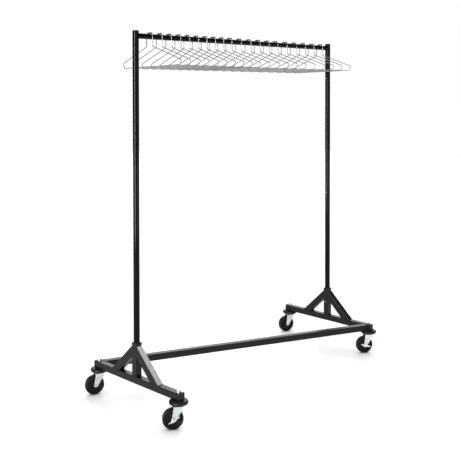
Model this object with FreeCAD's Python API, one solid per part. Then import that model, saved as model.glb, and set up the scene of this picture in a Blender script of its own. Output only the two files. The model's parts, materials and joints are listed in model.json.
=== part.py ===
"""Rolling clothes rack with a Z-shaped base, a welded hang rail and captive wire hangers.

Millimetres, +Z up. X runs along the hang rail, Y across the base bars, and the origin is on
the floor under the middle of the whole rack, casters included. The pieces are laid out about
the middle of the base and moved to that origin as they are written, one STEP file per node.
"""
import FreeCAD, Part
import math
import os

V = FreeCAD.Vector
X_AXIS = V(1, 0, 0)
Y_AXIS = V(0, 1, 0)
Z_AXIS = V(0, 0, 1)

# Overall size
POST_SPAN = 1536.0        # between the two posts' axes
STEM_SPAN = 625.0         # between the caster stems of one base bar
RAIL_Z = 1856.9           # axis of the hang rail
POST_TOP = 1880.4         # top end of the post tube, under its cap
CENTRE_X = -15.0          # middle of the whole rack, as the casters trail towards -X

# Square tube of the base
TUBE = 35.0
TUBE_WALL = 1.5
TUBE_CORNER = 2.5
BAR_BOTTOM = 135.9
BAR_LENGTH = 652.0
SOCKET_TOP = 334.8
BRACE_DEPTH = 40.0        # depth of a brace in its own plane
BRACE_ANGLE = 42.8        # slope of a brace, in degrees above the bar
BRACE_FOOT = 181.0        # outer end of a brace's foot, from the socket's axis

# Posts, each in three telescoping sections
POST_OD = 31.75
POST_WALL = 1.5
NECK_OD = 28.55           # reduced end that slips into the section above
NECK_WALL = 1.5
NECK_LENGTH = 62.0
LOWER_SEAM = 910.9
UPPER_SEAM = 1632.4
SEAM_EASE = 0.7           # the ends of the sections are bevelled by this much
BUTTON_RISE = 35.0        # a seam's button sits this far above the seam
SOCKET_BUTTON_Z = 253.0

# Hang rail
RAIL_OD = 28.0
RAIL_WALL = 1.5

# Snap buttons
BUTTON_D = 6.8
BUTTON_HOLE_D = 7.0
BUTTON_PROUD = 3.0        # how far a button stands out of the outer tube
BUTTON_ROOT = 10.6        # radius at which the pin meets its leaf
LEAF = (0.8, 8.0, 38.0)   # thickness, width and length of the leaf behind a button

# Collars, caps and plugs
COLLAR_SIDE = 38.4
COLLAR_HEIGHT = 10.0
COLLAR_SKIRT = 7.0
CAP_FLANGE = 3.0
END_CAP_SIDE = 38.0
END_CAP_LIP = 1.5         # the head stands this far over the tube on top, but not underneath
END_CAP_DEPTH = 9.0
END_CAP_PLUG = 3.0
TONGUE_HALF = 7.8         # half the thickness of the block that joins the rail to a bar
TONGUE_TAIL = 7.5         # how far that block runs past the caster stud
TONGUE_REACH = 75.0       # and how far it runs into the rail
TONGUE_PLAY = 0.3

# Casters
STUD_D = 11.0
STUD_HOLE_D = 11.4
BUMPER_D = 92.5
BUMPER_HEIGHT = 19.5
RACEWAY_D = 46.0
RACEWAY_HEIGHT = 3.0
CROWN_PLATE = 3.2
ARM_OUTER = 19.5          # outer face of a fork arm, from the wheel's mid plane
ARM_PLATE = 3.0
ARM_END_R = 9.0
TRAIL = 28.0              # how far the axle trails behind the stem
WHEEL_D = 101.6
TREAD_WIDTH = 28.0
HUB_WIDTH = 32.4
HUB_R = 13.5
SLEEVE_D = 12.0
SLEEVE_BORE_D = 12.1
AXLE_D = 8.0
LEVER_PLATE = 2.5
LEVER_BORE_D = 8.15
RUNNING_GAP = 0.3
# Direction in which each caster trails, in degrees from +X about +Z
CASTER_TURN = {"back_left": 163.0, "front_left": 148.0, "back_right": 157.0, "front_right": 148.0}
# Slope of each brake lever about its axle, in degrees
LEVER_TURN = {"front_left": 28.0, "front_right": -20.0}
NUT_AF = 16.0
NUT_HEIGHT = 8.0
WASHER_D = 26.0
WASHER_HEIGHT = 1.5

# Wire hangers: heights and drops are from the rail's axis to the middle of the wire
WIRE_D = 4.0
LOOP_TOP = 17.2
LOOP_HALF = 23.5
NECK_DROP = 50.0
TIP_HALF = 229.0
TIP_DROP = 126.0
FOOT_HALF = 216.0
FOOT_DROP = 150.5
SHOULDER_SHIFT = -8.0     # the shoulders sit a little off the middle of the loop
SWING = -1.2              # degrees about the rail at which a hanger comes to rest
FIRST_HANGER_X = -679.0
HANGER_GAP_GROUPS = [(9, 62.5), (5, 76.5), (5, 84.0)]   # (how many gaps, width of each)

# Levels and places that follow from the sizes above
BAR_TOP = BAR_BOTTOM + TUBE
BAR_MID = BAR_BOTTOM + TUBE / 2
BUMPER_BOTTOM = BAR_BOTTOM - BUMPER_HEIGHT
RACEWAY_BOTTOM = BUMPER_BOTTOM - RACEWAY_HEIGHT
CROWN_TOP = RACEWAY_BOTTOM - RUNNING_GAP
CROWN_BOTTOM = CROWN_TOP - CROWN_PLATE
AXLE_Z = WHEEL_D / 2
SIDES = {"left": -POST_SPAN / 2, "right": POST_SPAN / 2}
STEMS = {
    "back_left": V(SIDES["left"], STEM_SPAN / 2, 0),
    "front_left": V(SIDES["left"], -STEM_SPAN / 2, 0),
    "back_right": V(SIDES["right"], STEM_SPAN / 2, 0),
    "front_right": V(SIDES["right"], -STEM_SPAN / 2, 0),
}
RAIL_ANGLE = math.degrees(math.atan2(-STEM_SPAN, POST_SPAN))


def moved(shape, offset):
    """A copy of a shape, moved by a vector."""
    out = shape.copy()
    out.translate(offset)
    return out


def turned(shape, degrees, axis=Z_AXIS, about=V(0, 0, 0)):
    """A copy of a shape, turned about an axis through a point."""
    out = shape.copy()
    out.rotate(about, axis, degrees)
    return out


def box(low, high):
    """A box between two opposite corners."""
    size = high - low
    return Part.makeBox(size.x, size.y, size.z, low)


def cylinder(radius, start, end):
    """A cylinder between two points on its axis."""
    return Part.makeCylinder(radius, start.distanceToPoint(end), start, end - start)


def tube(outer_d, wall, start, end):
    """A round tube between two points on its axis."""
    return cylinder(outer_d / 2, start, end).cut(cylinder(outer_d / 2 - wall, start, end))


def rounded_wire(points, radii, closed=True):
    """A wire through points, each corner rounded by a tangent arc of its own radius."""
    count = len(points)
    spans = []
    for i, (corner, radius) in enumerate(zip(points, radii)):
        before = points[i - 1]
        after = points[(i + 1) % count]
        if radius == 0 or (not closed and i in (0, count - 1)):
            spans.append((corner, None, corner))
            continue
        back = (before - corner).normalize()
        ahead = (after - corner).normalize()
        half = back.getAngle(ahead) / 2
        reach = radius / math.tan(half)
        bisector = (back + ahead).normalize()
        middle = corner + bisector * (radius / math.sin(half) - radius)
        spans.append((corner + back * reach, middle, corner + ahead * reach))
    edges = []
    for i, (start, middle, end) in enumerate(spans):
        if middle is not None:
            edges.append(Part.Arc(start, middle, end).toShape())
        if i + 1 < count or closed:
            following = spans[(i + 1) % count][0]
            if end.distanceToPoint(following) > 1e-6:
                edges.append(Part.LineSegment(end, following).toShape())
    return Part.Wire(edges)


def prism(points, radii, depth):
    """A flat outline with rounded corners, extruded by a vector."""
    return Part.Face(rounded_wire(points, radii)).extrude(depth)


def rectangle_prism(width, height, corner, length):
    """A rounded rectangle centred on the Z axis, extruded upwards from Z = 0."""
    w = width / 2
    h = height / 2
    points = [V(-w, -h, 0), V(w, -h, 0), V(w, h, 0), V(-w, h, 0)]
    return prism(points, [corner] * 4, V(0, 0, length))


def square_tube(width, height, length):
    """Rolled tube along +Z from Z = 0, with rounded corners inside and out."""
    inner = rectangle_prism(width - 2 * TUBE_WALL, height - 2 * TUBE_WALL, TUBE_CORNER - TUBE_WALL, length)
    return rectangle_prism(width, height, TUBE_CORNER, length).cut(inner)


def regular_prism(across_flats, height, sides=6):
    """A hexagonal prism on the Z axis, upwards from Z = 0."""
    radius = across_flats / 2 / math.cos(math.pi / sides)
    points = []
    for i in range(sides):
        angle = 2 * math.pi * i / sides
        points.append(V(radius * math.cos(angle), radius * math.sin(angle), 0))
    return prism(points, [0] * sides, V(0, 0, height))


def revolved(points, radii):
    """A closed outline of (radius, height) pairs, turned once about the Z axis."""
    outline = [V(r, 0, z) for r, z in points]
    return Part.Face(rounded_wire(outline, radii)).revolve(V(0, 0, 0), Z_AXIS, 360)


def save(name, *solids):
    """Write one node about the rack's own origin; its pieces stay separate solids."""
    placed = [moved(solid, V(-CENTRE_X, 0, 0)) for solid in solids]
    shape = placed[0] if len(placed) == 1 else Part.makeCompound(placed)
    shape.exportStep(f"parts/{name}.step")


def rail_tongue(play=0.0):
    """Steel block welded inside one end of the base rail, drilled for the caster stud."""
    half = V(0, TONGUE_HALF + play, TUBE / 2 - TUBE_WALL)
    low = V(-TONGUE_TAIL - play, 0, BAR_MID) - half
    high = V(TONGUE_REACH + play, 0, BAR_MID) + half
    return moved(turned(box(low, high), RAIL_ANGLE), STEMS["back_left"])


def drilled_tongue():
    """The block as fitted, with the hole for the stud that clamps it in the bar."""
    foot = STEMS["back_left"]
    return rail_tongue().cut(cylinder(STUD_HOLE_D / 2, foot, foot + V(0, 0, BAR_TOP)))


def half_turned(shape):
    """The same piece at the opposite corner of the Z-shaped base."""
    return turned(shape, 180)


def base_bar(side):
    """One cross bar of the base, drilled for its two caster studs and slotted for the tongue."""
    bar = turned(square_tube(TUBE, TUBE, BAR_LENGTH), -90, X_AXIS)
    bar = moved(bar, V(SIDES["left"], -BAR_LENGTH / 2, BAR_MID))
    for end in ("back_left", "front_left"):
        foot = STEMS[end]
        bar = bar.cut(cylinder(STUD_HOLE_D / 2, foot + V(0, 0, BAR_BOTTOM), foot + V(0, 0, BAR_TOP)))
    bar = bar.cut(rail_tongue(TONGUE_PLAY))
    return bar if side == "left" else half_turned(bar)


def base_rail():
    """The long diagonal rail, cut off flush against the inner faces of both bars."""
    length = POST_SPAN + STEM_SPAN
    rail = turned(square_tube(TUBE, TUBE, length), 90, Y_AXIS)
    rail = turned(moved(rail, V(-length / 2, 0, BAR_MID)), RAIL_ANGLE)
    reach = POST_SPAN / 2 - TUBE / 2
    return rail.common(box(V(-reach, -STEM_SPAN, 0), V(reach, STEM_SPAN, BAR_TOP + TUBE)))


def inward(side):
    """Unit vector from a post towards the middle of the rack."""
    return V(1, 0, 0) if side == "left" else V(-1, 0, 0)


def button_hole(side, height):
    """The drilling for one snap button, through one wall only."""
    start = V(SIDES[side], 0, height)
    return cylinder(BUTTON_HOLE_D / 2, start, start + inward(side) * TUBE)


def socket(side):
    """Upright square tube on a base bar that takes the foot of the post."""
    upright = moved(square_tube(TUBE, TUBE, SOCKET_TOP - BAR_TOP), V(SIDES[side], 0, BAR_TOP))
    return upright.cut(button_hole(side, SOCKET_BUTTON_Z))


def brace(side, direction):
    """Sloping tube from a base bar to the socket, mitred to lie flat against both."""
    slope = math.radians(BRACE_ANGLE)
    down = V(0, math.cos(slope), -math.sin(slope))
    normal = V(0, math.sin(slope), math.cos(slope))
    length = BRACE_FOOT / math.cos(slope) + 2 * BRACE_DEPTH
    stock = turned(square_tube(TUBE, BRACE_DEPTH, length), 90 + BRACE_ANGLE, V(-1, 0, 0))
    foot = V(SIDES[side], BRACE_FOOT, BAR_TOP)
    stock = moved(stock, foot + down * BRACE_DEPTH - down * length - normal * BRACE_DEPTH / 2)
    window = box(V(SIDES[side] - TUBE, TUBE / 2, BAR_TOP), V(SIDES[side] + TUBE, STEM_SPAN / 2, SOCKET_TOP))
    piece = stock.common(window)
    return piece if direction > 0 else piece.mirror(V(0, 0, 0), Y_AXIS)


def socket_collar(side):
    """Moulded collar over the top of a socket, with a snug round hole for the post."""
    low = SOCKET_TOP - COLLAR_SKIRT
    high = SOCKET_TOP + COLLAR_HEIGHT - COLLAR_SKIRT
    collar = rectangle_prism(COLLAR_SIDE, COLLAR_SIDE, 4.0, high - low)
    collar = collar.makeFillet(1.2, top_edges(collar, high - low))
    collar = collar.cut(rectangle_prism(TUBE + 0.1, TUBE + 0.1, TUBE_CORNER, COLLAR_SKIRT))
    collar = collar.cut(cylinder(POST_OD / 2 + 0.05, V(0, 0, 0), V(0, 0, high - low)))
    return moved(collar, V(SIDES[side], 0, low))


def top_edges(shape, level):
    """Edges that lie wholly at one height."""
    return [e for e in shape.Edges if abs(e.BoundBox.ZMin - level) < 1e-6 and e.BoundBox.ZLength < 1e-6]


def end_cap(corner):
    """Plug in the end of a base bar, with a pillow-shaped head."""
    head = rectangle_prism(END_CAP_SIDE, TUBE + END_CAP_LIP, 4.5, END_CAP_DEPTH)
    head = head.makeFillet(3.0, top_edges(head, END_CAP_DEPTH))
    inside = TUBE - 2 * TUBE_WALL - 0.2
    plug = moved(rectangle_prism(inside, inside, 1.0, END_CAP_PLUG), V(0, 0, -END_CAP_PLUG))
    head = moved(head, V(0, -END_CAP_LIP / 2, 0))
    cap = turned(head.fuse(plug), -90, X_AXIS)
    cap = moved(cap, V(0, BAR_LENGTH / 2, BAR_MID))
    cap = cap if STEMS[corner].y > 0 else turned(cap, 180)
    return moved(cap, V(STEMS[corner].x, 0, 0))


def seam_groove(side, height):
    """The V that two bevelled ends leave where they butt."""
    rim = POST_OD / 2
    outline = [(rim - SEAM_EASE, 0), (rim + 1, -SEAM_EASE - 1), (rim + 1, SEAM_EASE + 1)]
    return moved(revolved(outline, [0, 0, 0]), V(SIDES[side], 0, height))


def post_section(side, low, high, buttons):
    """One plain length of post, drilled on its inner side for the snap buttons."""
    section = tube(POST_OD, POST_WALL, V(SIDES[side], 0, low), V(SIDES[side], 0, high))
    section = section.cut(seam_groove(side, low))
    for height in buttons:
        section = section.cut(button_hole(side, height))
    return section


def necked_section(side, low, high, buttons):
    """A length of post whose reduced neck enters the section above it."""
    foot = V(SIDES[side], 0, low)
    top = V(SIDES[side], 0, high)
    neck_top = top + V(0, 0, NECK_LENGTH)
    shoulder = top - V(0, 0, 2 * POST_WALL)
    section = cylinder(POST_OD / 2, foot, top).fuse(cylinder(NECK_OD / 2, top, neck_top))
    section = section.cut(cylinder(POST_OD / 2 - POST_WALL, foot, shoulder))
    section = section.cut(cylinder(NECK_OD / 2 - NECK_WALL, foot, neck_top))
    section = section.cut(seam_groove(side, low)).cut(seam_groove(side, high))
    for height in buttons:
        section = section.cut(button_hole(side, height))
    return section


def post_cap(side):
    """Flat moulded cap that closes the top of a post."""
    base = V(SIDES[side], 0, POST_TOP)
    head = cylinder(POST_OD / 2, V(0, 0, 0), V(0, 0, CAP_FLANGE))
    head = head.makeFillet(1.0, top_edges(head, CAP_FLANGE))
    plug = cylinder(POST_OD / 2 - POST_WALL - 0.1, V(0, 0, -8), V(0, 0, 0))
    return moved(head.fuse(plug), base)


def hang_rail():
    """Round rail whose ends are coped to sit against both posts."""
    rail = tube(RAIL_OD, RAIL_WALL, V(SIDES["left"], 0, RAIL_Z), V(SIDES["right"], 0, RAIL_Z))
    for x in SIDES.values():
        rail = rail.cut(cylinder(POST_OD / 2, V(x, 0, LOWER_SEAM), V(x, 0, POST_TOP)))
    return rail


def snap_button(side, height, outer_radius):
    """Spring button: a domed pin on the steel leaf that pushes it outwards."""
    thick, width, length = LEAF
    tip = outer_radius + BUTTON_PROUD
    pin = cylinder(BUTTON_D / 2, V(BUTTON_ROOT, 0, 0), V(tip, 0, 0))
    crown = [e for e in pin.Edges if e.BoundBox.XMin > tip - 0.1]
    pin = pin.makeFillet(1.6, crown)
    leaf = box(V(BUTTON_ROOT - thick, -width / 2, 8 - length), V(BUTTON_ROOT, width / 2, 8))
    button = pin.fuse(leaf)
    button = button if side == "left" else turned(button, 180)
    return moved(button, V(SIDES[side], 0, height))


def bumper():
    """Soft ring between the base bar and the caster, wider than both."""
    r = BUMPER_D / 2
    hole = STUD_D / 2 + 0.1
    low = BUMPER_BOTTOM
    high = BAR_BOTTOM
    outline = [(hole, low), (r - 6, low), (r, low + 5), (r, high - 5), (r - 6, high), (hole, high)]
    return revolved(outline, [0, 5, 5, 5, 5, 0])


def caster_stem():
    """Threaded stud with the fixed raceway cap that the fork turns under."""
    stud = STUD_D / 2
    race = RACEWAY_D / 2
    head = STUD_D / 2 + 3.0
    head_top = CROWN_BOTTOM - RUNNING_GAP
    top = BAR_TOP + WASHER_HEIGHT + NUT_HEIGHT + 3.0
    outline = [
        (0, head_top - 3.0), (head, head_top - 3.0), (head, head_top), (stud, head_top),
        (stud, RACEWAY_BOTTOM), (race, RACEWAY_BOTTOM), (race, BUMPER_BOTTOM), (stud, BUMPER_BOTTOM),
        (stud, top), (0, top),
    ]
    return revolved(outline, [0, 1.2, 0, 0, 0, 1.0, 1.0, 0, 1.0, 0])


def stem_nut():
    """Hexagonal nut on the stud, with the corners of its top turned off."""
    low = BAR_TOP + WASHER_HEIGHT
    blank = regular_prism(NUT_AF, NUT_HEIGHT)
    turned_top = Part.makeCone(NUT_AF / 2 + NUT_HEIGHT, NUT_AF / 2 - 0.5, NUT_HEIGHT + 0.5)
    nut = blank.common(turned_top).cut(cylinder(STUD_D / 2, V(0, 0, 0), V(0, 0, NUT_HEIGHT)))
    return moved(nut, V(0, 0, low))


def stem_washer():
    """Moulded washer under the nut."""
    low = V(0, 0, BAR_TOP)
    return tube(WASHER_D, (WASHER_D - STUD_HOLE_D) / 2, low, low + V(0, 0, WASHER_HEIGHT))


def fork():
    """Pressed fork, with its crown round the stud and its arms leaning back to the axle."""
    outer = [V(0, -ARM_OUTER, 30), V(0, ARM_OUTER, 30), V(0, ARM_OUTER, CROWN_TOP), V(0, -ARM_OUTER, CROWN_TOP)]
    gap = ARM_OUTER - ARM_PLATE
    inner = [V(0, -gap, 30), V(0, gap, 30), V(0, gap, CROWN_BOTTOM), V(0, -gap, CROWN_BOTTOM)]
    along = V(3 * WHEEL_D, 0, 0)
    channel = prism(outer, [0, 0, 5.5, 5.5], along).cut(prism(inner, [0, 0, 2.5, 2.5], along))
    channel = moved(channel, along * -0.5)
    end_r = ARM_END_R
    side_view = [
        V(-21, 0, CROWN_TOP), V(-21, 0, CROWN_TOP - 9), V(TRAIL - end_r - 1, 0, AXLE_Z - end_r),
        V(TRAIL + end_r, 0, AXLE_Z - end_r), V(26, 0, CROWN_TOP),
    ]
    side_view = [p - V(0, WHEEL_D, 0) for p in side_view]
    plate = prism(side_view, [0, 6, end_r - 2.5, end_r - 2.5, 0], V(0, 2 * WHEEL_D, 0))
    fork_shape = channel.common(plate)
    fork_shape = fork_shape.cut(cylinder(STUD_D / 2 + 0.05, V(0, 0, CROWN_BOTTOM - 1), V(0, 0, CROWN_TOP + 1)))
    hub = V(TRAIL, 0, AXLE_Z)
    return fork_shape.cut(cylinder(AXLE_D / 2, hub - V(0, WHEEL_D, 0), hub + V(0, WHEEL_D, 0)))


def axle(braked):
    """Axle bolt with its head and nut, and the steel sleeve that the wheel turns on."""
    hub = V(TRAIL, 0, AXLE_Z)
    head_at = ARM_OUTER + (LEVER_PLATE + 2 * RUNNING_GAP if braked else 0)
    head = moved(turned(regular_prism(13.0, 5.3), -90, X_AXIS), hub + V(0, head_at, 0))
    shank = cylinder(AXLE_D / 2, hub - V(0, ARM_OUTER + 9, 0), hub + V(0, head_at, 0))
    bolt = head.fuse(shank)
    nut = moved(turned(regular_prism(13.0, 7.0), 90, X_AXIS), hub - V(0, ARM_OUTER, 0))
    nut = nut.cut(cylinder(AXLE_D / 2, hub - V(0, WHEEL_D, 0), hub))
    gap = ARM_OUTER - ARM_PLATE
    sleeve = tube(SLEEVE_D, (SLEEVE_D - AXLE_D) / 2, hub - V(0, gap, 0), hub + V(0, gap, 0))
    return [bolt, nut, sleeve]


def wheel():
    """Hard moulded wheel: crowned tread, dished web and raised hub on a plain bore."""
    r = WHEEL_D / 2
    tread = TREAD_WIDTH / 2
    hub = HUB_WIDTH / 2
    bore = SLEEVE_BORE_D / 2
    web = 5.0
    half = [(bore, hub), (HUB_R, hub), (HUB_R + 2, web), (r - 15, web), (r - 13, tread), (r - 1.2, tread), (r, 0)]
    other = [(radius, -height) for radius, height in reversed(half[:-1])]
    corner = [0, 1.2, 2.5, 2.5, 1.5, 4.5, 0]
    solid = revolved(half + other, corner + list(reversed(corner[:-1])))
    return moved(turned(solid, 90, X_AXIS), V(TRAIL, 0, AXLE_Z))


def brake_lever():
    """Rocker lever on the axle bolt: a wide foot pad at one end, a narrow tab at the other."""
    y = ARM_OUTER + RUNNING_GAP
    outline = [
        V(-30, y, -3), V(-16, y, -6), V(-4, y, -11), V(7, y, -11), V(19.5, y, -6.5), V(29, y, -3.5),
        V(28.5, y, -0.5), V(18, y, -0.5), V(10.5, y, 1), V(7, y, 9), V(-7, y, 9), V(-10.5, y, 1.5),
        V(-17, y, 2.5), V(-30, y, 2.5),
    ]
    radii = [1.5, 8, 8, 8, 8, 1.2, 1.2, 6, 4, 5, 5, 4, 6, 1.5]
    plate = prism(outline, radii, V(0, LEVER_PLATE, 0))
    foot_pad = turned(box(V(-2.5, 0, 0), V(0, 10, 7.5)), -10, Y_AXIS)
    tab = turned(box(V(0, 0, 0), V(2.5, 6, 4)), 30, Y_AXIS)
    plate = plate.fuse(moved(foot_pad, V(-27.0, y, -3.5)))
    plate = plate.fuse(moved(tab, V(25.0, y, -4.0)))
    return plate.cut(cylinder(LEVER_BORE_D / 2, V(0, 0, 0), V(0, WHEEL_D, 0)))


def placed_caster(shape, corner):
    """A caster piece swivelled to its rest direction, under its own corner."""
    return moved(turned(shape, CASTER_TURN[corner]), STEMS[corner])


def hanger():
    """Closed wire hanger in the plane X = 0, with its loop round the rail's axis at Z = 0."""
    half = [(LOOP_HALF, LOOP_TOP, 14.0), (LOOP_HALF, -NECK_DROP, 3.0)]
    shoulder = [(TIP_HALF, -TIP_DROP, 10.0), (FOOT_HALF, -FOOT_DROP, 9.0)]
    far = half + [(y + SHOULDER_SHIFT, z, radius) for y, z, radius in shoulder]
    near = [(-y, z, radius) for y, z, radius in half]
    near += [(SHOULDER_SHIFT - y, z, radius) for y, z, radius in shoulder]
    crest = (0.0, LOOP_TOP, 0.0)
    outline = [crest] + far + list(reversed(near))
    path = rounded_wire([V(0, y, z) for y, z, _ in outline], [radius for _, _, radius in outline])
    section = Part.Wire(Part.makeCircle(WIRE_D / 2, V(0, 0, LOOP_TOP), Y_AXIS))
    return turned(path.makePipeShell([section], True, False), SWING, X_AXIS)


def hanger_places():
    """X of every hanger along the rail, closer together towards the left."""
    places = [FIRST_HANGER_X]
    for count, gap in HANGER_GAP_GROUPS:
        for _ in range(count):
            places.append(places[-1] + gap)
    return places


def write_base():
    for side in SIDES:
        save(f"base_bar_{side}", base_bar(side))
    save("base_rail", base_rail())
    save("rail_tongues", drilled_tongue(), half_turned(drilled_tongue()))
    save("post_sockets", *[socket(side) for side in SIDES])
    save("socket_braces", *[brace(side, way) for side in SIDES for way in (1, -1)])
    save("socket_collars", *[socket_collar(side) for side in SIDES])
    save("bar_end_caps", *[end_cap(corner) for corner in STEMS])


def write_posts():
    lower_button = LOWER_SEAM + BUTTON_RISE
    upper_button = UPPER_SEAM + BUTTON_RISE
    for side in SIDES:
        save(f"post_lower_{side}", necked_section(side, BAR_TOP, LOWER_SEAM, [SOCKET_BUTTON_Z, lower_button]))
        save(f"post_middle_{side}", necked_section(side, LOWER_SEAM, UPPER_SEAM, [lower_button, upper_button]))
        save(f"post_upper_{side}", post_section(side, UPPER_SEAM, POST_TOP, [upper_button]))
        save(f"snap_button_socket_{side}", snap_button(side, SOCKET_BUTTON_Z, TUBE / 2))
        save(f"snap_button_lower_{side}", snap_button(side, lower_button, POST_OD / 2))
        save(f"snap_button_upper_{side}", snap_button(side, upper_button, POST_OD / 2))
    save("post_caps", *[post_cap(side) for side in SIDES])
    save("hang_rail", hang_rail())


def write_casters():
    save("bumpers", *[moved(bumper(), place) for place in STEMS.values()])
    save("caster_stems", *[moved(caster_stem(), place) for place in STEMS.values()])
    save("stem_nuts", *[moved(stem_nut(), place) for place in STEMS.values()])
    save("stem_washers", *[moved(stem_washer(), place) for place in STEMS.values()])
    for corner in STEMS:
        braked = corner in LEVER_TURN
        save(f"caster_fork_{corner}", placed_caster(fork(), corner))
        save(f"axle_{corner}", *[placed_caster(piece, corner) for piece in axle(braked)])
        save(f"wheel_{corner}", placed_caster(wheel(), corner))
        if braked:
            lever = turned(brake_lever(), LEVER_TURN[corner], Y_AXIS)
            save(f"brake_lever_{corner}", placed_caster(moved(lever, V(TRAIL, 0, AXLE_Z)), corner))


def write_hangers():
    wire = hanger()
    for number, x in enumerate(hanger_places(), start=1):
        save(f"hanger_{number:02d}", moved(wire, V(x, 0, RAIL_Z)))


os.makedirs("parts", exist_ok=True)
write_base()
write_posts()
write_casters()
write_hangers()
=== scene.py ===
"""Studio scene for a rolling clothes rack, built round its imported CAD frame."""
import bpy
import json
import math
from mathutils import Matrix, Vector

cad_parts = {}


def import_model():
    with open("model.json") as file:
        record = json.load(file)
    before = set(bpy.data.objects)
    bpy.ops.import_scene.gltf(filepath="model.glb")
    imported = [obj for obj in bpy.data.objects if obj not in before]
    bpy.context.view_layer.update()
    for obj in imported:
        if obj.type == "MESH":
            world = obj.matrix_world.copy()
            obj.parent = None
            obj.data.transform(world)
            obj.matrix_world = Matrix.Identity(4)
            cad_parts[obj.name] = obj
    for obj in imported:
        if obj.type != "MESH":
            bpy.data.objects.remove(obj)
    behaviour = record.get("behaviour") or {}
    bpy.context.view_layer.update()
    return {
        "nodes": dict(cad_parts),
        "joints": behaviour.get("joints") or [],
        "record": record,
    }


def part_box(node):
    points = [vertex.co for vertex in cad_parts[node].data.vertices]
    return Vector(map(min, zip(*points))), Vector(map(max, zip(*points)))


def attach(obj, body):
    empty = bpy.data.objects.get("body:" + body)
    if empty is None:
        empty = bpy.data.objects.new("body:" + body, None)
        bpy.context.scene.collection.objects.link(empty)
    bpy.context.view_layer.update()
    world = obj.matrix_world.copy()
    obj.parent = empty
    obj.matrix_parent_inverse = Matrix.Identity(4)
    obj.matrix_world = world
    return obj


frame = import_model()
NODES = frame["nodes"]
JOINTS = {joint["name"]: joint for joint in frame["joints"]}
SLOT_OF = {part["node"]: part["material_slot"] for part in frame["record"]["subparts"]}

# The camera, in the row frame
CAMERA_PLACE = Vector((-3.183, -3.0628, 1.5706))
CAMERA_YAW = 45.25         # degrees from +Y towards +X
CAMERA_PITCH = -1.15       # degrees above the horizon
CAMERA_ROLL = -0.07        # degrees
CAMERA_LENS = 61.58        # mm
SENSOR_WIDTH = 36.0        # mm
CAMERA_DROP = 0.15317      # metres that the picture's middle drops below the sensor's axis, per metre ahead
CLIP_END = 60.0            # metres

# The studio: which way the white backdrop lies, where its edge falls, and how bright its two sides are
BACKDROP_WAY = (0.602, 0.597, 0.53)
BACKDROP_EDGE = (0.87, 0.95)
DIM_SIDE = 0.1
BRIGHT_SIDE = 3.0
FLOOR_REACH = 14.0         # metres from the middle to each edge
OVERHEAD_STRENGTH = 3.5
OVERHEAD_SPREAD = 120      # degrees
POSTS_AIM = (-0.75, 0, 1.2)
BRACES_AIM = (-0.76, -0.12, 0.26)

# Weld beads, in metres
BEAD_STEP = 0.0008         # between the sections of a bead
BEAD_AROUND = 8
BEAD_INSET = 0.003         # how far short of an edge a straight bead stops
BAR_END_INSET = 0.002      # how far short of a bar's end its beads stop
RIPPLE_PITCH = 0.0032
TUBE_CORNER = 0.0025
SOCKET_BEAD_R = 0.0021
BRACE_BEAD_R = 0.0022
BASE_RAIL_BEAD_R = 0.002
HANG_RAIL_BEAD_R = 0.0019
HANG_RAIL_BEAD_STEPS = 140

# The glide on the crest of a hanger's loop, in metres
GLIDE_REACH = 0.019        # along the wire, each way from the crest
GLIDE_STEPS = 20           # sections in that reach
GLIDE_AROUND = 20
GLIDE_WALL = 0.001
GLIDE_END = 0.0012         # length of the rounding at each end
GLIDE_WAVE = 0.00003       # unevenness of the moulding
GLIDE_CROWN = 0.25         # how much taller its upper half is than a plain sleeve
GLIDE_SINK = 0.0002
CREST_FLAT = 0.0095        # half of the loop's flat crest
CREST_BEND = 0.014         # radius of the bend beside it
HANGER_TILT = math.radians(1.2)

# The rolled thread on a caster's stud, in metres
THREAD_PITCH = 0.00125
THREAD_R = 0.00545
THREAD_RIDGE = 0.00034
THREAD_LIFT = 0.0002       # above the nut
THREAD_SPARE = 0.0012      # plain length left at the stud's end
THREAD_STEPS = 26          # sections in a turn
THREAD_AROUND = 6

WARM = (1.02, 1, 1)
COOL = (1, 1, 1.04)


# ---------------------------------------------------------------- materials

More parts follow.
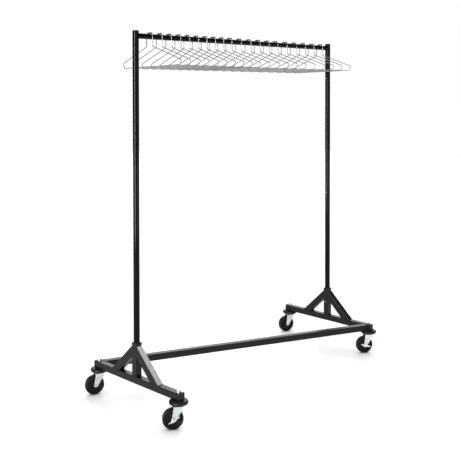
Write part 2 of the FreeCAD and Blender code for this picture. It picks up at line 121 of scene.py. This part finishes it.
class Finish:
    """A Principled material, with its noise, bump and colour nodes made in a few calls."""

    def __init__(self, name):
        self.material = bpy.data.materials.new(name)
        self.material.use_nodes = True
        self.nodes = self.material.node_tree.nodes
        self.links = self.material.node_tree.links
        self.shader = self.nodes["Principled BSDF"]
        self.place = self.nodes.new("ShaderNodeTexCoord").outputs["Object"]

    def set(self, **values):
        """Uniform values, straight on the shader's sockets."""
        for socket, value in values.items():
            self.shader.inputs[socket.replace("_", " ")].default_value = value
        return self

    def stretched(self, stretch):
        """Object coordinates scaled by a vector, for grain that runs one way."""
        mapping = self.nodes.new("ShaderNodeMapping")
        mapping.inputs["Scale"].default_value = stretch
        self.links.new(self.place, mapping.inputs["Vector"])
        return mapping.outputs["Vector"]

    def noise(self, scale, detail=3.0, rough=0.55, stretch=None):
        """A noise value over the surface, 0 to 1."""
        node = self.nodes.new("ShaderNodeTexNoise")
        node.inputs["Scale"].default_value = scale
        node.inputs["Detail"].default_value = detail
        node.inputs["Roughness"].default_value = rough
        place = self.stretched(stretch) if stretch else self.place
        self.links.new(place, node.inputs["Vector"])
        return node.outputs["Fac"]

    def remapped(self, value, low, high, start=0.35, end=0.65):
        """A value spread from start..end to low..high."""
        node = self.nodes.new("ShaderNodeMapRange")
        node.inputs["From Min"].default_value = start
        node.inputs["From Max"].default_value = end
        node.inputs["To Min"].default_value = low
        node.inputs["To Max"].default_value = high
        self.links.new(value, node.inputs["Value"])
        return node.outputs["Result"]

    def colour(self, value, *stops):
        """Base colour from a value, through stops of (position, (r, g, b))."""
        ramp = self.nodes.new("ShaderNodeValToRGB")
        elements = ramp.color_ramp.elements
        while len(elements) < len(stops):
            elements.new(0.5)
        for element, (position, rgb) in zip(elements, stops):
            element.position = position
            element.color = (*rgb, 1.0)
        self.links.new(value, ramp.inputs["Fac"])
        self.links.new(ramp.outputs["Color"], self.shader.inputs["Base Color"])
        return self

    def roughness(self, value, low, high):
        """Roughness from a value, spread over low to high."""
        self.links.new(self.remapped(value, low, high), self.shader.inputs["Roughness"])
        return self

    def bump(self, value, strength, distance):
        """Bump on top of any bump that is already there."""
        node = self.nodes.new("ShaderNodeBump")
        node.inputs["Strength"].default_value = strength
        node.inputs["Distance"].default_value = distance
        self.links.new(value, node.inputs["Height"])
        socket = self.shader.inputs["Normal"]
        if socket.is_linked:
            self.links.new(socket.links[0].from_socket, node.inputs["Normal"])
        self.links.new(node.outputs["Normal"], socket)
        return self


def grey(value, tint=(1.0, 1.0, 1.0)):
    """A linear grey, slightly tinted."""
    return tuple(value * part for part in tint)


def powder_coat():
    """Charcoal powder coat with the fine pebbled skin of textured paint."""
    finish = Finish("charcoal_powder_coat").set(Specular_IOR_Level=0.18)
    cloud = finish.noise(14.0, 4.0)
    dark, middling, light = grey(0.006, COOL), grey(0.008), grey(0.011, WARM)
    finish.colour(cloud, (0.3, dark), (0.55, middling), (0.75, light))
    finish.roughness(finish.noise(160.0), 0.3, 0.42)
    finish.bump(finish.noise(1100.0, 2.0), 0.35, 0.00025)
    return finish.bump(finish.noise(330.0, 2.0), 0.2, 0.0004).material


def gloss_paint():
    """Smooth black enamel on drawn tube, with a faint orange peel and rub marks."""
    finish = Finish("gloss_black_enamel")
    finish.set(Specular_IOR_Level=0.08, Coat_Weight=0.03, Coat_Roughness=0.1)
    cloud = finish.noise(9.0, 4.0)
    dark, middling, light = grey(0.002), grey(0.0026, (1, 1, 1.05)), grey(0.0035)
    finish.colour(cloud, (0.3, dark), (0.6, middling), (0.8, light))
    finish.roughness(finish.noise(70.0, 4.0, stretch=(1, 1, 0.15)), 0.08, 0.15)
    return finish.bump(finish.noise(420.0, 1.0), 0.12, 0.0003).material


def plated(name, low, high, tint, rough, grain=(1, 1, 1)):
    """Zinc or nickel plate: grain along the stroke, cloudy patches, small pits."""
    finish = Finish(name).set(Metallic=1.0)
    cloud = finish.noise(55.0, 5.0)
    dark, middling, light = grey(low, tint), grey((low + high) / 2, tint), grey(high, tint)
    finish.colour(cloud, (0.25, dark), (0.5, middling), (0.75, light))
    finish.roughness(finish.noise(240.0, 4.0, stretch=grain), rough - 0.08, rough + 0.1)
    finish.bump(finish.noise(900.0, 3.0, stretch=grain), 0.25, 0.00012)
    return finish.bump(finish.noise(130.0, 2.0), 0.12, 0.0003).material


def moulded(name, low, high, rough, pebble, depth):
    """Black moulded plastic or rubber, with a fine moulded grain."""
    finish = Finish(name).set(Specular_IOR_Level=0.2)
    cloud = finish.noise(38.0, 4.0)
    finish.colour(cloud, (0.3, grey(low)), (0.7, grey(high, (1.0, 1.0, 1.03))))
    finish.roughness(finish.noise(210.0), rough - 0.06, rough + 0.08)
    return finish.bump(finish.noise(pebble, 2.0), 0.3, depth).material


def wheel_plastic():
    """Hard black wheel, with a dusty, unevenly worn surface."""
    finish = Finish("hard_wheel_polymer").set(Specular_IOR_Level=0.18)
    cloud = finish.noise(60.0, 5.0)
    dark, middling, dusty = grey(0.005), grey(0.007), grey(0.012, (1.03, 1.0, 0.97))
    finish.colour(cloud, (0.3, dark), (0.62, middling), (0.8, dusty))
    finish.roughness(finish.noise(150.0, 4.0), 0.3, 0.48)
    finish.bump(finish.noise(700.0, 2.0), 0.22, 0.0002)
    return finish.bump(finish.noise(90.0, 3.0), 0.15, 0.0005).material


FINISHES = {
    "black_powder": powder_coat(),
    "gloss_black": gloss_paint(),
    "zinc_steel": plated("bright_zinc_plate", 0.52, 0.72, (0.93, 1.0, 1.02), 0.3),
    "lever_steel": plated("pressed_lever_plate", 0.6, 0.8, (0.98, 1.0, 1.0), 0.26, (1, 1, 3)),
    "button_steel": plated("spring_button_steel", 0.45, 0.6, (1.0, 1.0, 1.0), 0.32),
    "hanger_wire": plated("drawn_hanger_wire", 0.17, 0.26, (1.0, 1.0, 1.01), 0.3, (6, 1, 1)),
    "wheel_polymer": wheel_plastic(),
    "bumper_rubber": moulded("bumper_rubber", 0.008, 0.013, 0.42, 800.0, 0.0002),
    "black_plastic": moulded("satin_black_plastic", 0.006, 0.010, 0.36, 1000.0, 0.00012),
}


def paint(obj, slot_name):
    """Gives a piece the finish of one of the record's material slots."""
    obj.data.materials.clear()
    obj.data.materials.append(FINISHES[slot_name])


# ---------------------------------------------------------------- mesh helpers

def mesh_piece(name, verts, faces, slot_name, body):
    """A new visible piece that rides on a body and takes one slot's finish."""
    mesh = bpy.data.meshes.new(name)
    mesh.from_pydata([tuple(v) for v in verts], [], faces)
    mesh.update()
    mesh.polygons.foreach_set("use_smooth", [True] * len(mesh.polygons))
    obj = bpy.data.objects.new(name, mesh)
    bpy.context.scene.collection.objects.link(obj)
    paint(obj, slot_name)
    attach(obj, body)


def ring_frames(path, closed):
    """Each point of a path, with two directions square to the path there."""
    count = len(path)
    frames = []
    side = None
    for i, point in enumerate(path):
        before = path[i - 1] if (closed or i) else point
        after = path[(i + 1) % count] if (closed or i < count - 1) else point
        tangent = (after - before).normalized()
        if side is None:
            side = tangent.orthogonal().normalized()
        side = (side - tangent * side.dot(tangent)).normalized()
        frames.append((point, side, tangent.cross(side)))
    return frames


def tube_mesh(path, radii, around, closed=False):
    """Vertices and faces of a tube that follows a path with its own radius at each point."""
    verts = []
    for (point, side, up), radius in zip(ring_frames(path, closed), radii):
        for k in range(around):
            angle = 2 * math.pi * k / around
            verts.append(point + side * (radius * math.cos(angle)) + up * (radius * math.sin(angle)))
    count = len(path)
    faces = []
    for i in range(count if closed else count - 1):
        here = i * around
        ahead = ((i + 1) % count) * around
        for k in range(around):
            beside = (k + 1) % around
            faces.append((here + k, here + beside, ahead + beside, ahead + k))
    if not closed:
        faces.append(tuple(reversed(range(around))))
        faces.append(tuple((count - 1) * around + k for k in range(around)))
    return verts, faces


def joined(parts):
    """Several (vertices, faces) pairs as one."""
    verts, faces = [], []
    for more_verts, more_faces in parts:
        start = len(verts)
        verts += more_verts
        faces += [tuple(start + i for i in face) for face in more_faces]
    return verts, faces


def sampled(corners, closed):
    """Points along the straight runs between corners, about one bead step apart."""
    points = []
    count = len(corners)
    for i in range(count if closed else count - 1):
        start, end = corners[i], corners[(i + 1) % count]
        pieces = max(2, round((end - start).length / BEAD_STEP))
        points += [start.lerp(end, k / pieces) for k in range(pieces)]
    if not closed:
        points.append(corners[-1])
    return points


def weld_bead(path, radius, closed=True):
    """A rippled fillet weld laid along a path."""
    travelled = 0.0
    radii = []
    for i, point in enumerate(path):
        if i:
            travelled += (point - path[i - 1]).length
        ripple = abs(math.sin(travelled * math.pi / RIPPLE_PITCH))
        wander = 0.08 * math.sin(travelled * 97.0) + 0.05 * math.sin(travelled * 231.0 + 1.0)
        radii.append(radius * (0.82 + 0.2 * ripple + wander))
    return tube_mesh(path, radii, BEAD_AROUND, closed)


def straight_bead(start, end, radius):
    """A weld bead between two points."""
    return weld_bead(sampled([start, end], closed=False), radius, closed=False)


# ---------------------------------------------------------------- places on the frame

def middle(node):
    """The middle of a node's box."""
    low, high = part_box(node)
    return (low + high) / 2


def width(node):
    """A node's size along X."""
    low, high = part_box(node)
    return high.x - low.x


def top_of(node):
    """The height of a node's highest point."""
    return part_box(node)[1].z


SIDES = ("left", "right")
CORNERS = ("back_left", "front_left", "back_right", "front_right")
POST = {side: middle(f"post_upper_{side}") for side in SIDES}
POST_R = width("post_upper_left") / 2
RAIL_Z = middle("hang_rail").z
RAIL_R = (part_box("hang_rail")[1].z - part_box("hang_rail")[0].z) / 2
BAR_TOP = top_of("base_bar_left")
BAR_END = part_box("base_bar_left")[1].y
TUBE = width("base_bar_left")
BRACE_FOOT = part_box("socket_braces")[1].y
BRACE_TOP = top_of("socket_braces")
STEM = {corner: Vector(JOINTS[f"swivel_{corner}"]["pos_m"]) for corner in CORNERS}
STUD_TOP = top_of("caster_stems")
NUT_TOP = top_of("stem_nuts")
HANGERS = sorted(name for name in NODES if name.startswith("hanger_"))


# ---------------------------------------------------------------- welds

def square_loop(centre, half, z):
    """The outline of a square tube's foot, corners cut, at height z."""
    cut = half - TUBE_CORNER
    corners = []
    for sx, sy in ((1, 1), (-1, 1), (-1, -1), (1, -1)):
        first, second = ((half, cut), (cut, half)) if sx * sy > 0 else ((cut, half), (half, cut))
        for dx, dy in (first, second):
            corners.append(Vector((centre.x + sx * dx, centre.y + sy * dy, z)))
    return corners


def socket_welds():
    """Beads round the foot of each socket, at each brace's foot and at each brace's top."""
    half = TUBE / 2
    inset = half - BEAD_INSET
    beads = []
    for post in POST.values():
        beads.append(weld_bead(sampled(square_loop(post, half, BAR_TOP), closed=True), SOCKET_BEAD_R))
        for way in (1, -1):
            for y, z in ((post.y + way * BRACE_FOOT, BAR_TOP), (post.y + way * half, BRACE_TOP)):
                start = Vector((post.x - inset, y, z))
                end = Vector((post.x + inset, y, z))
                beads.append(straight_bead(start, end, BRACE_BEAD_R))
    mesh_piece("socket_weld_beads", *joined(beads), "black_powder", "frame")


def rail_welds():
    """Beads where the diagonal base rail meets the inner faces of the two bars."""
    low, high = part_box("base_rail")
    slope = STEM["front_right"] - STEM["back_left"]
    slope.z = 0
    slope.normalize()
    half = TUBE / 2 / abs(slope.x) - BEAD_INSET
    limit = BAR_END - BAR_END_INSET
    beads = []
    for x, corner in ((low.x, "back_left"), (high.x, "front_right")):
        centre_y = STEM[corner].y + (x - STEM[corner].x) * slope.y / slope.x
        near, far = (max(-limit, min(limit, y)) for y in (centre_y - half, centre_y + half))
        across = [Vector((x, y, BAR_TOP)) for y in (near, far)]
        inner_y = near if centre_y > 0 else far
        upright = [Vector((x, inner_y, z)) for z in (low.z + BEAD_INSET, BAR_TOP - BEAD_INSET)]
        beads += [straight_bead(*ends, BASE_RAIL_BEAD_R) for ends in (across, upright)]
    mesh_piece("base_rail_weld_beads", *joined(beads), "black_powder", "frame")


def hang_rail_welds():
    """Ring beads where the hang rail is coped on to the posts."""
    beads = []
    for side, way in (("left", 1), ("right", -1)):
        path = []
        for k in range(HANG_RAIL_BEAD_STEPS):
            angle = 2 * math.pi * k / HANG_RAIL_BEAD_STEPS
            y = RAIL_R * math.cos(angle)
            x = POST[side].x + way * math.sqrt(POST_R ** 2 - y ** 2)
            path.append(Vector((x, y, RAIL_Z + RAIL_R * math.sin(angle))))
        beads.append(weld_bead(path, HANG_RAIL_BEAD_R))
    mesh_piece("hang_rail_weld_beads", *joined(beads), "gloss_black", "frame")


# ---------------------------------------------------------------- hangers and hardware

def loop_crest():
    """Points (y, z) over the top of a hanger's loop, below its crest: a flat, then a bend each way."""
    points = []
    for k in range(-GLIDE_STEPS, GLIDE_STEPS + 1):
        along = GLIDE_REACH * k / GLIDE_STEPS
        over = max(0.0, abs(along) - CREST_FLAT) / CREST_BEND
        y = min(abs(along), CREST_FLAT) + CREST_BEND * math.sin(over)
        points.append((math.copysign(y, along), CREST_BEND * (math.cos(over) - 1)))
    return points


def glide_radius(wire_r, k):
    """The glide's radius at its section k, rounded off at both ends."""
    from_end = GLIDE_REACH * (1 - abs(k - GLIDE_STEPS) / GLIDE_STEPS)
    end = min(1.0, from_end / GLIDE_END)
    wall = GLIDE_WALL * math.sqrt(max(0.0, 1 - (1 - end) ** 2))
    return wire_r + wall + GLIDE_WAVE * math.sin(k * 2.1)


def wire_glide(node):
    """The black glide moulded over the crest of a hanger's loop, a little taller on top."""
    low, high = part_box(node)
    x = (low.x + high.x) / 2
    wire_r = (high.x - low.x) / 2
    crest = high.z - wire_r - GLIDE_SINK
    path = [Vector((x, y, crest + z - y * math.sin(HANGER_TILT))) for y, z in loop_crest()]
    radii = [glide_radius(wire_r, k) for k in range(len(path))]
    verts, faces = tube_mesh(path, radii, GLIDE_AROUND)
    for k, vert in enumerate(verts):
        vert.z += GLIDE_CROWN * max(0.0, vert.z - path[k // GLIDE_AROUND].z)
    return verts, faces


def hanger_glides():
    """A glide on every hanger's loop."""
    for node in HANGERS:
        mesh_piece(f"{node}_sleeve", *wire_glide(node), "black_plastic", f"{node}_body")


def stud_threads():
    """Rolled thread on the end of each caster stud above its nut."""
    rise = STUD_TOP - NUT_TOP - THREAD_SPARE
    turns = rise / THREAD_PITCH
    steps = round(turns * THREAD_STEPS)
    parts = []
    for place in STEM.values():
        path = []
        for k in range(steps + 1):
            angle = 2 * math.pi * turns * k / steps
            x = place.x + THREAD_R * math.cos(angle)
            y = place.y + THREAD_R * math.sin(angle)
            path.append(Vector((x, y, NUT_TOP + THREAD_LIFT + rise * k / steps)))
        parts.append(tube_mesh(path, [THREAD_RIDGE] * len(path), THREAD_AROUND))
    mesh_piece("stud_threads", *joined(parts), "zinc_steel", "frame")


# ---------------------------------------------------------------- scene

def camera_turn():
    """The camera's axes as the columns of a matrix: right, up and back."""
    yaw, pitch, roll = (math.radians(v) for v in (CAMERA_YAW, CAMERA_PITCH, CAMERA_ROLL))
    flat = math.cos(pitch)
    ahead = Vector((math.sin(yaw) * flat, math.cos(yaw) * flat, math.sin(pitch)))
    level = Vector((math.cos(yaw), -math.sin(yaw), 0))
    above = level.cross(ahead)
    right = level * math.cos(roll) + above * math.sin(roll)
    up = above * math.cos(roll) - level * math.sin(roll)
    return Matrix((right, up, -ahead)).transposed()


def camera():
    """The camera at the photograph's angle, which keeps upright lines upright.

    The mount leans the camera's axis towards the middle of the picture and leaves its sensor
    upright, as a shift lens does. A camera taken off the mount is an ordinary one.
    """
    mount = bpy.data.objects.new("camera_mount", None)
    mount.matrix_world = Matrix.Translation(CAMERA_PLACE) @ camera_turn().to_4x4()
    data = bpy.data.cameras.new("camera")
    data.lens = CAMERA_LENS * math.hypot(1, CAMERA_DROP)
    data.sensor_width = SENSOR_WIDTH
    data.clip_end = CLIP_END
    obj = bpy.data.objects.new("camera", data)
    lean = Matrix.Identity(4)
    lean[1][2] = CAMERA_DROP
    obj.parent = mount
    obj.matrix_parent_inverse = lean
    for item in (mount, obj):
        bpy.context.scene.collection.objects.link(item)
    bpy.context.scene.camera = obj


def floor():
    """A wide, pale, seamless floor."""
    mesh = bpy.data.meshes.new("studio_floor")
    corners = [(x * FLOOR_REACH, y * FLOOR_REACH, 0) for x, y in ((-1, -1), (1, -1), (1, 1), (-1, 1))]
    mesh.from_pydata(corners, [], [(0, 1, 2, 3)])
    obj = bpy.data.objects.new("studio_floor", mesh)
    finish = Finish("studio_floor").set(Specular_IOR_Level=0.1)
    finish.colour(finish.noise(0.6, 2.0), (0.3, grey(0.88)), (0.7, grey(0.9)))
    finish.roughness(finish.noise(3.0), 0.8, 0.9)
    mesh.materials.append(finish.material)
    bpy.context.scene.collection.objects.link(obj)


def softbox(name, place, target, size, power):
    """A softbox that shows as a reflection in paint and plate, but isn't seen itself."""
    data = bpy.data.lights.new(name, "AREA")
    data.shape = "RECTANGLE"
    data.size, data.size_y = size
    data.energy = power
    obj = bpy.data.objects.new(name, data)
    obj.location = place
    obj.rotation_mode = "QUATERNION"
    obj.rotation_quaternion = (Vector(target) - Vector(place)).to_track_quat("-Z", "Y")
    obj.visible_camera = False
    obj.visible_diffuse = False
    bpy.context.scene.collection.objects.link(obj)
    return obj


def overhead_light():
    """A broad ceiling of light, which keeps the floor white out to the horizon."""
    data = bpy.data.lights.new("overhead", "SUN")
    data.energy = OVERHEAD_STRENGTH
    data.angle = math.radians(OVERHEAD_SPREAD)
    obj = bpy.data.objects.new("overhead", data)
    obj.visible_glossy = False
    bpy.context.scene.collection.objects.link(obj)


def lights():
    """The ceiling, two tall softboxes for the posts, and a low one that only the braces reflect."""
    overhead_light()
    softbox("softbox_left", (-4.6, -0.9, 1.5), POSTS_AIM, (0.9, 2.8), 420.0)
    softbox("softbox_right", (-0.2, -4.2, 1.5), POSTS_AIM, (0.5, 2.8), 50.0)
    low_box = softbox("softbox_low", (0.06, -0.5, 1.3), BRACES_AIM, (0.8, 0.8), 70.0)
    braces_only = bpy.data.collections.new("lit_by_softbox_low")
    braces_only.objects.link(NODES["socket_braces"])
    low_box.light_linking.receiver_collection = braces_only


def world():
    """A white room to look at, with a dimmer side that the gloss paint reflects."""
    room = bpy.data.worlds.new("studio_world")
    room.use_nodes = True
    nodes, links = room.node_tree.nodes, room.node_tree.links
    sky = nodes["Background"]
    place = nodes.new("ShaderNodeTexCoord")
    split = nodes.new("ShaderNodeVectorMath")
    split.operation = "DOT_PRODUCT"
    split.inputs[1].default_value = BACKDROP_WAY
    links.new(place.outputs["Generated"], split.inputs[0])
    ramp = nodes.new("ShaderNodeMapRange")
    ramp.inputs["From Min"].default_value, ramp.inputs["From Max"].default_value = BACKDROP_EDGE
    ramp.inputs["To Min"].default_value = DIM_SIDE
    ramp.inputs["To Max"].default_value = BRIGHT_SIDE
    links.new(split.outputs["Value"], ramp.inputs["Value"])
    seen = nodes.new("ShaderNodeLightPath")
    pick = nodes.new("ShaderNodeMix")
    pick.inputs["B"].default_value = 1.0
    links.new(seen.outputs["Is Camera Ray"], pick.inputs["Factor"])
    links.new(ramp.outputs["Result"], pick.inputs["A"])
    links.new(pick.outputs["Result"], sky.inputs["Strength"])
    sky.inputs["Color"].default_value = (1.0, 1.0, 1.0, 1.0)
    bpy.context.scene.world = room
    bpy.context.scene.view_settings.view_transform = "Standard"


for node_name, node in NODES.items():
    paint(node, SLOT_OF[node_name])
socket_welds()
rail_welds()
hang_rail_welds()
hanger_glides()
stud_threads()
camera()
floor()
world()
lights()
